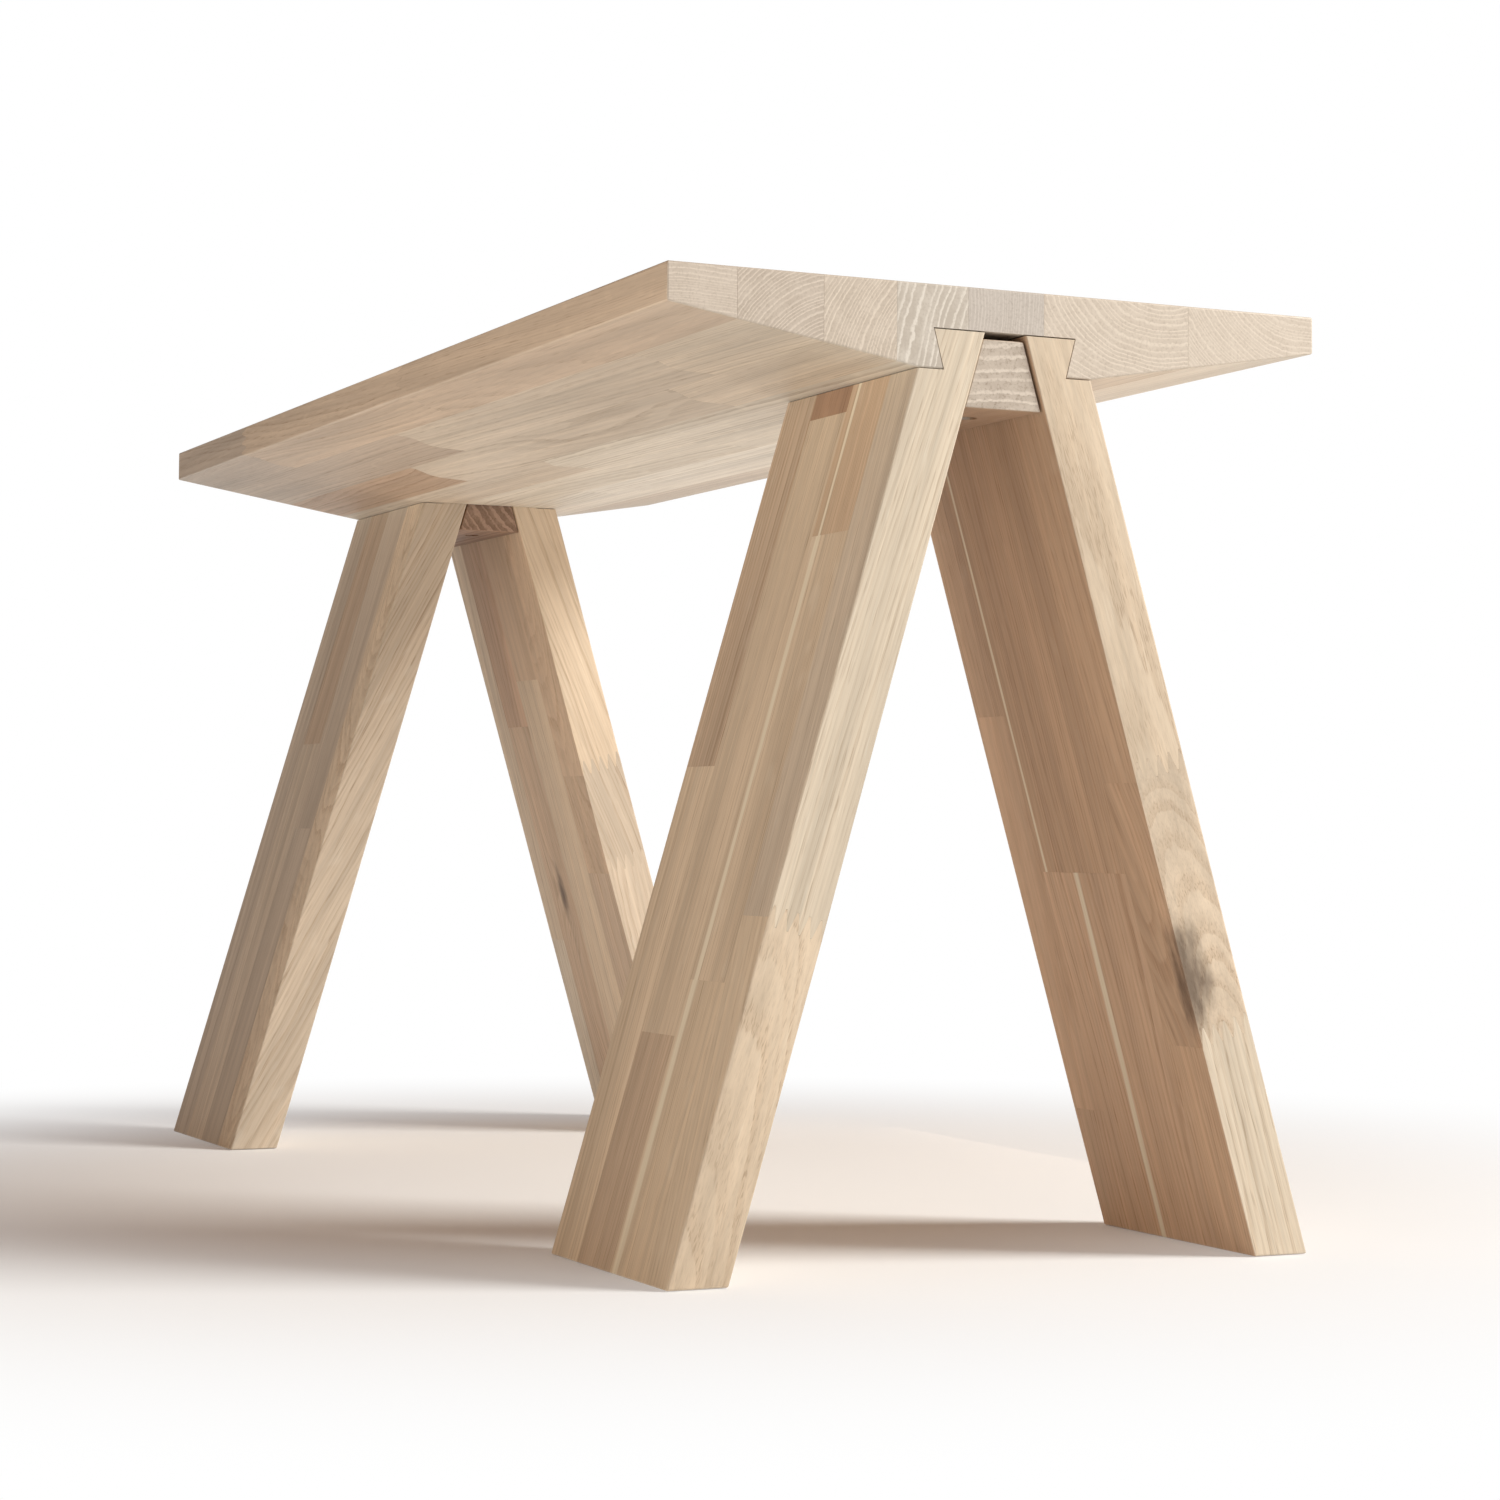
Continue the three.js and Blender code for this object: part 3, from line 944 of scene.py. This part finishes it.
@dataclass
class LockingBlock(Stock):
    """The wedge block that is screwed up between a pair of legs."""

    easing: float = 0.8 * MM

    def skin(self, normal: Vector, middle: Vector) -> Skin:
        """Says what a face is: everything shows but the screw holes.

        Args:
            normal: the face's normal.
            middle: the face's middle.

        Returns:
            Its kind.
        """
        if abs(normal.x) > 0.99 and min(abs(middle.x - self.low.x), abs(middle.x - self.high.x)) < self.near:
            return Skin.CUT
        if abs(normal.z) > 0.99 and min(middle.z - self.low.z, self.high.z - middle.z) < self.near:
            return Skin.UNDER
        if abs(normal.y) > 0.9 and abs(middle.y) > 0.25 * self.high.y and abs(normal.x) < 0.01:
            return Skin.WIDE
        return Skin.HIDDEN


@dataclass
class LockingScrew:
    """A socket-head wood screw: rounded head, hexagon socket, plain neck and a rolled thread."""

    node: str
    material: bpy.types.Material
    slot: str = "screw_steel"
    corners: int = 48
    head_height: float = 3.2 * MM
    shank: float = 4.5 * MM
    core: float = 3.3 * MM
    pitch: float = 1.9 * MM
    steps: int = 8
    neck: float = 6.0 * MM
    point: float = 5.0 * MM
    socket: float = 3.0 * MM
    socket_depth: float = 2.0 * MM
    rim: float = 0.45 * MM
    lip: float = 0.12 * MM
    flare: float = 1.06
    chamfer: float = 0.15 * MM
    relief: float = 0.2 * MM

    def round_ring(self, radius: float, z: float) -> list[Three]:
        """Gives a level circle of points.

        Args:
            radius: its radius.
            z: its height.

        Returns:
            The points.
        """
        turns = [math.tau * i / self.corners for i in range(self.corners)]
        return [(radius * math.cos(turn), radius * math.sin(turn), z) for turn in turns]

    def hex_ring(self, z: float) -> list[Three]:
        """Gives a level hexagon of as many points as the circles, with points on its corners.

        Args:
            z: its height.

        Returns:
            The points.
        """
        ring = []
        for i in range(self.corners):
            turn = math.tau * i / self.corners
            to_flat = (turn + math.pi / 6) % (math.pi / 3) - math.pi / 6
            reach = self.socket / 2 / math.cos(to_flat)
            ring.append((reach * math.cos(turn), reach * math.sin(turn), z))
        return ring

    def thread_ring(self, z: float, start: float, tip: float) -> list[Three]:
        """Gives one slice of the thread.

        Args:
            z: its height.
            start: where the thread starts.
            tip: the height of the point.

        Returns:
            The points.
        """
        ring = []
        thin = min(1.0, max(0.02, (tip - z) / self.point)) ** 0.75
        rise = min(1.0, (z - start) / self.pitch)
        for i in range(self.corners):
            turn = math.tau * i / self.corners
            within = ((z - start) / self.pitch - i / self.corners) % 1.0
            crest = max(0.0, 1.0 - abs(within - 0.5) / 0.24)
            radius = (self.core / 2 + (self.shank - self.core) / 2 * crest * rise) * thin
            ring.append((radius * math.cos(turn), radius * math.sin(turn), z))
        return ring

    def rings(self, low: float, high: float, head: float) -> list[list[Three]]:
        """Lists the screw's slices from the floor of its socket to its point.

        Args:
            low: the height of the head's face.
            high: the height of the point.
            head: the head's radius.

        Returns:
            The slices, each with as many points.
        """
        seat = low + self.head_height
        start = seat + self.neck
        slices = [self.hex_ring(low + self.socket_depth), self.hex_ring(low + self.lip)]
        slices.append([(x * self.flare, y * self.flare, low) for x, y, _z in self.hex_ring(low)])
        for i in range(5):
            turn = math.pi / 2 * i / 4
            inset, rise = self.rim * (1 - math.sin(turn)), self.rim * (1 - math.cos(turn))
            slices.append(self.round_ring(head - inset, low + rise))
        slices += [self.round_ring(head, seat - self.chamfer), self.round_ring(head - self.chamfer, seat)]
        bare = self.shank / 2 - self.relief
        slices += [self.round_ring(bare, seat), self.round_ring(bare, start)]
        count = int((high - start) / (self.pitch / self.steps))
        for i in range(count):
            slices.append(self.thread_ring(start + (high - start) * (i + 1) / count, start, high))
        return slices

    def build(self) -> None:
        """Makes the screw in place of its node."""
        low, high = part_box(self.node)
        middle = (low + high) / 2
        slices = self.rings(low.z, high.z, (high.x - low.x) / 2)
        work = bmesh.new()
        rows = [[work.verts.new((middle.x + x, middle.y + y, z)) for x, y, z in ring] for ring in slices]
        for below, above in zip(rows, rows[1:]):
            for i in range(self.corners):
                j = (i + 1) % self.corners
                work.faces.new((below[i], below[j], above[j], above[i]))
        work.faces.new(rows[0][::-1])
        work.faces.new(rows[-1])
        bmesh.ops.recalc_face_normals(work, faces=work.faces)
        mesh = bpy.data.meshes.new(f"{self.node}_steel")
        work.to_mesh(mesh)
        work.free()
        mesh.shade_smooth()
        mesh.set_sharp_from_angle(angle=math.radians(38.0))
        write(mesh, "place", [vertex.co - middle for vertex in mesh.vertices])
        belongs(hang(f"{self.node}_steel", mesh, self.material), self.node)


# ---------------------------------------------------------------------------------------------------------
# The studio


@dataclass(frozen=True)
class Lamp:
    """One square lamp or reflector card: where it hangs, what it looks at, its side, power and colour."""

    name: str
    place: Three
    aim: Three
    side: float
    power: float
    colour: Three

    def hang(self) -> None:
        """Hangs the lamp, unseen by the camera itself."""
        data = bpy.data.lights.new(self.name, "AREA")
        data.shape = "SQUARE"
        data.size = self.side
        data.energy = self.power
        data.color = self.colour
        lamp = bpy.data.objects.new(self.name, data)
        lamp.location = self.place
        away = Vector(self.place) - Vector(self.aim)
        lamp.rotation_euler = away.to_track_quat("Z", "Y").to_euler()
        lamp.visible_camera = False
        bpy.context.scene.collection.objects.link(lamp)


def studio_lamps() -> list[Lamp]:
    """Lists the key lamp, high on the right in front, and the cards that throw light back from below.

    Returns:
        The lamps.
    """
    return [
        Lamp("key_lamp", (1.698, 2.123, 1.938), (0.0, 0.0, 0.24), 1.15, 117.0, (1.0, 1.0, 0.965)),
        Lamp("left_card", (0.35, -1.0, 0.03), (0.15, 0.0, 0.40), 1.3, 8.9, (1.0, 0.88, 0.71)),
        Lamp("under_card", (-0.05, 0.36, 0.02), (-0.05, 0.2, 0.45), 0.45, 1.5, (1.0, 0.75, 0.55)),
    ]


@dataclass(frozen=True)
class Studio:
    """A pale floor, a large soft lamp from the right and the front, two reflector cards and the camera."""

    floor: bpy.types.Material
    floor_radius: float = 7.0
    floor_sides: int = 96
    floor_gap: float = 0.3 * MM
    sky_strength: float = 0.16
    sky_colour: Three = (1.0, 0.60, 0.47)
    camera_place: Three = (1.7943, -0.7510, 0.2033)
    azimuth: float = 64.036
    pitch: float = 3.076
    roll: float = 0.361
    lens: float = 78.9
    shift: tuple[float, float] = (-0.06, -0.06)

    def build(self) -> None:
        """Sets up everything round the bench."""
        self.lay_floor()
        for lamp in studio_lamps():
            lamp.hang()
        self.light_sky()
        self.set_camera()
        bpy.context.scene.view_settings.view_transform = "Standard"
        bpy.context.scene.view_settings.look = "None"

    def lay_floor(self) -> None:
        """Makes the floor, a wide disc of rings."""
        work = bmesh.new()
        rows = []
        turns = [math.tau * i / self.floor_sides for i in range(self.floor_sides)]
        for share in (0.04, 0.12, 0.25, 0.45, 0.7, 1.0):
            reach = self.floor_radius * share
            spots = [(reach * math.cos(turn), reach * math.sin(turn), -self.floor_gap) for turn in turns]
            rows.append([work.verts.new(spot) for spot in spots])
        for inner, outer in zip(rows, rows[1:]):
            for i in range(self.floor_sides):
                j = (i + 1) % self.floor_sides
                work.faces.new((inner[i], outer[i], outer[j], inner[j]))
        work.faces.new(rows[0])
        mesh = bpy.data.meshes.new("studio_floor")
        work.to_mesh(mesh)
        work.free()
        write(mesh, "place", [vertex.co.copy() for vertex in mesh.vertices])
        hang("studio_floor", mesh, self.floor)

    def light_sky(self) -> None:
        """Makes the studio's white walls, dimmer as a light than as they look."""
        world = bpy.data.worlds.new("studio_walls")
        world.use_nodes = True
        tree = world.node_tree
        tree.nodes.clear()
        output = tree.nodes.new("ShaderNodeOutputWorld")
        seen = tree.nodes.new("ShaderNodeBackground")
        seen.inputs["Color"].default_value = (1.0, 1.0, 1.0, 1.0)
        light = tree.nodes.new("ShaderNodeBackground")
        light.inputs["Color"].default_value = (*self.sky_colour, 1.0)
        light.inputs["Strength"].default_value = self.sky_strength
        path = tree.nodes.new("ShaderNodeLightPath")
        mix = tree.nodes.new("ShaderNodeMixShader")
        tree.links.new(path.outputs["Is Camera Ray"], mix.inputs[0])
        tree.links.new(light.outputs[0], mix.inputs[1])
        tree.links.new(seen.outputs[0], mix.inputs[2])
        tree.links.new(mix.outputs[0], output.inputs["Surface"])
        bpy.context.scene.world = world

    def set_camera(self) -> None:
        """Places the camera low beside the front end, looking slightly up."""
        turn, tilt, lean = (math.radians(angle) for angle in (self.azimuth, self.pitch, self.roll))
        forward = Vector((-math.sin(turn) * math.cos(tilt), math.cos(turn) * math.cos(tilt), math.sin(tilt)))
        right = Vector((math.cos(turn), math.sin(turn), 0.0))
        up = right.cross(forward)
        leaned_right = math.cos(lean) * right + math.sin(lean) * up
        leaned_up = math.cos(lean) * up - math.sin(lean) * right
        data = bpy.data.cameras.new("camera")
        data.lens = self.lens
        data.sensor_width = 36.0
        data.shift_x, data.shift_y = self.shift
        data.clip_end = 60.0
        camera = bpy.data.objects.new("camera", data)
        matrix = camera.matrix_world.to_3x3()
        for column, axis in enumerate((leaned_right, leaned_up, -forward)):
            matrix.col[column] = axis
        camera.matrix_world = matrix.to_4x4()
        camera.location = self.camera_place
        bpy.context.scene.collection.objects.link(camera)
        bpy.context.scene.camera = camera


# ---------------------------------------------------------------------------------------------------------
# The bench


def sorted_shades() -> dict[str, Shade]:
    """Sorts the lengths that have no look of their own: first by board, then by stave and length.

    Returns:
        Each length's shade, by its node.
    """
    sorted_by_board = {
        "leg_front_left_stave_": {
            "1_a": Shade.PLAIN, "1_b": Shade.FAWN, "2_a": Shade.FAWN, "2_b": Shade.PLAIN,
        },
        "leg_front_right_stave_": {"1_a": Shade.ROSY, "1_b": Shade.ROSY, "1_c": Shade.ROSY},
        # painted shade: the rear-left leg's darker, greyer shades, where less light reaches it
        "leg_rear_left_stave_": {
            "2_a": Shade.PEWTER, "2_b": Shade.PEWTER, "3_a": Shade.GREY, "3_b": Shade.DUSK,
            "4_a": Shade.PEWTER,
        },
        "leg_rear_right_stave_": {
            "2_b": Shade.TAN, "3_b": Shade.ROSY, "4_a": Shade.PALE, "4_b": Shade.STRAW,
        },
        # the top's lengths carry their own tone and painted light and shade: darker towards the left of the
        # underside, paler towards its middle and right, up to a painted glow
        "top_stave_": {
            "1_a": Shade.DUSK, "1_b": Shade.TAN, "2_a": Shade.FAWN, "2_b": Shade.PLAIN, "3_a": Shade.BROWN,
            "3_b": Shade.PLAIN, "4_a": Shade.PLAIN, "5_a": Shade.PALE, "6_a": Shade.CREAM, "6_b": Shade.CREAM,
        },
    }
    shades: dict[str, Shade] = {}
    for board, lengths in sorted_by_board.items():
        shades.update({board + length: shade for length, shade in lengths.items()})
    return shades


def top_looks() -> dict[str, OakLook]:
    """Gives the lengths at the front end of the top board their rings, from left to right.

    Returns:
        Each length's look, by its node.
    """
    return {
        "top_stave_1_c": OakLook((14.0, -150.0), 1.5, (10.0, 8.0), Shade.PLAIN, 0.55, 0.7, sides=Shade.TAN),
        "top_stave_2_c": OakLook(
            (34.0, -38.0), 1.9, (-18.0, 12.0), Shade.PLAIN, 0.85, 0.6, sides=Shade.STRAW
        ),
        "top_stave_3_c": OakLook((80.0, -36.0), 2.1, (12.0, -12.0), Shade.STRAW, 0.80, 0.8),
        "top_stave_4_b": OakLook((150.0, -42.0), 3.9, (8.0, 16.0), Shade.PALE, 1.05, 1.2),
        "top_stave_5_b": OakLook((-160.0, 30.0), 1.9, (6.0, 6.0), Shade.GREY, 0.5, 1.2, sides=Shade.PALE),
        "top_stave_6_c": OakLook((22.0, 52.0), 2.6, (14.0, -14.0), Shade.STRAW, 0.6, 2.6),
        "top_stave_7_b": OakLook(
            (40.0, 60.0), 2.2, (-12.0, 10.0), Shade.STRAW, 0.55, 2.0, sides=Shade.PALE
        ),
    }


def leg_looks() -> dict[str, OakLook]:
    """Gives the lengths of the legs that have marks of their own.

    Returns:
        Each length's look, by its node.
    """
    sap_low, sap_middle, sap_high = (-14.0, 3.4, 6.0), (-13.0, 2.6, 4.0), (-12.0, 1.6, 4.0)
    return {
        "leg_front_left_stave_2_c": OakLook((90.0, 30.0), 1.6, (6.0, 6.0), Shade.RUSSET, 0.8, 0.8),
        "leg_front_left_stave_3_a": OakLook(
            (-120.0, 20.0), 1.5, (6.0, 4.0), Shade.STRAW, 0.8, 1.0, sap_low
        ),
        "leg_front_left_stave_3_b": OakLook(
            (-120.0, 20.0), 1.7, (6.0, 4.0), Shade.PLAIN, 0.9, 1.0, sap_middle
        ),
        "leg_front_left_stave_3_c": OakLook((-110.0, 40.0), 1.6, (8.0, 4.0), Shade.TAN, 0.8, 1.0, sap_high),
        "leg_front_left_stave_4_a": OakLook((-40.0, 6.0), 3.6, (110.0, 30.0), Shade.STRAW, 0.45, 2.6),
        "leg_front_left_stave_4_b": OakLook(
            (70.0, 44.0), 2.0, (8.0, 10.0), Shade.PALE, 0.6, 1.2, sides=Shade.GREY
        ),
        "leg_front_right_stave_2_a": OakLook(
            (60.0, 60.0), 2.0, (20.0, 4.0), Shade.ROSY, 0.9, 3.0, (-9.0, 2.8, 12.0)
        ),
        "leg_front_right_stave_2_b": OakLook(
            (-80.0, 40.0), 1.8, (14.0, 10.0), Shade.BROWN, 0.9, 3.4, (-37.5, 1.1, 0.0)
        ),
        # painted shade: the inner faces of this stave's lengths are browner than their ends
        "leg_front_right_stave_3_a": OakLook(
            (40.0, -30.0), 2.2, (10.0, 20.0), Shade.PALE, 0.7, 2.0, sides=Shade.BROWN
        ),
        "leg_front_right_stave_3_b": OakLook(
            (-2.0, -4.0), 3.5, (270.0, 20.0), Shade.PLAIN, 0.65, 2.2, None, (-36.0, 16.0, -12.0, 16.0),
            Shade.BROWN,
        ),
        "leg_front_right_stave_3_c": OakLook(
            (-44.0, -8.0), 3.3, (70.0, 24.0), Shade.STRAW, 0.5, 2.6, sides=Shade.BROWN
        ),
        "leg_rear_left_stave_1_a": OakLook(
            (12.0, 66.0), 3.4, (20.0, 230.0), Shade.GREY, 0.75, 7.5, sides=Shade.PLAIN
        ),
        "leg_rear_right_stave_1_a": OakLook(
            (-50.0, 40.0), 2.0, (10.0, 10.0), Shade.GREY, 0.7, 3.0, sides=Shade.FAWN
        ),
        "leg_rear_right_stave_1_b": OakLook(
            (30.0, 50.0), 2.8, (10.0, 150.0), Shade.GREY, 0.7, 4.5, sides=Shade.TAN
        ),
        "leg_rear_right_stave_1_c": OakLook(
            (-20.0, 50.0), 2.8, (12.0, 120.0), Shade.PLAIN, 0.7, 4.5, sides=Shade.TAN
        ),
        "leg_rear_right_stave_2_a": OakLook((-60.0, 30.0), 2.0, (8.0, 20.0), Shade.STRAW, 0.8, 3.0),
        "leg_rear_right_stave_3_a": OakLook(
            (30.0, 40.0), 2.0, (10.0, 30.0), Shade.TAN, 0.9, 4.0, None, (20.0, 3.0, -18.0, 9.5)
        ),
    }


def build_bench() -> None:
    """Builds the top, the legs, the blocks and the screws, in the order that a joiner makes them."""
    top_oak = OakFinish("oak_top", late=(0.610, 0.520, 0.410), early=(0.470, 0.385, 0.290)).build()
    leg_oak = OakFinish("oak_legs").build()
    block_oak = OakFinish(
        "oak_blocks", late=(0.540, 0.420, 0.300), early=(0.360, 0.260, 0.170), end_dark=(0.330, 0.265, 0.205)
    ).build()
    steel = SteelFinish("screw_steel").build()
    nodes = sorted(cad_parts)
    top_names = [name for name in nodes if name.startswith("top_")]
    TopBoard(top_names, top_oak, "oak_top", looks=top_looks()).build()
    for end in End:
        for side in Side:
            names = [name for name in nodes if name.startswith(f"leg_{end.value}_{side.value}_")]
            LegBoard(names, leg_oak, "oak_legs", side=side, looks=leg_looks()).build()
        LockingBlock([f"locking_block_{end.value}"], block_oak, "oak_blocks", looks=block_looks()).build()
        for place in Place:
            LockingScrew(f"screw_{end.value}_{place.value}", steel).build()


def block_looks() -> dict[str, OakLook]:
    """Gives the two locking blocks their rings.

    Returns:
        Each block's look, by its node.
    """
    # painted shade: the front block's underside and sides are rosier than its ends
    front = OakLook((-8.0, -220.0), 5.2, (4.0, 4.0), Shade.PLAIN, 0.68, 0.8, sides=Shade.ROSY)
    return {
        "locking_block_front": front,
        "locking_block_rear": replace(front, pith=(60.0, 46.0), shade=Shade.RUSSET, contrast=1.0, sides=None),
    }


def main() -> None:
    """Builds the bench and its studio."""
    logging.basicConfig(level=logging.INFO, format="%(message)s")
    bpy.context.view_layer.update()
    build_bench()
    Studio(FloorFinish("studio_floor").build()).build()


if __name__ == "__main__":
    main()
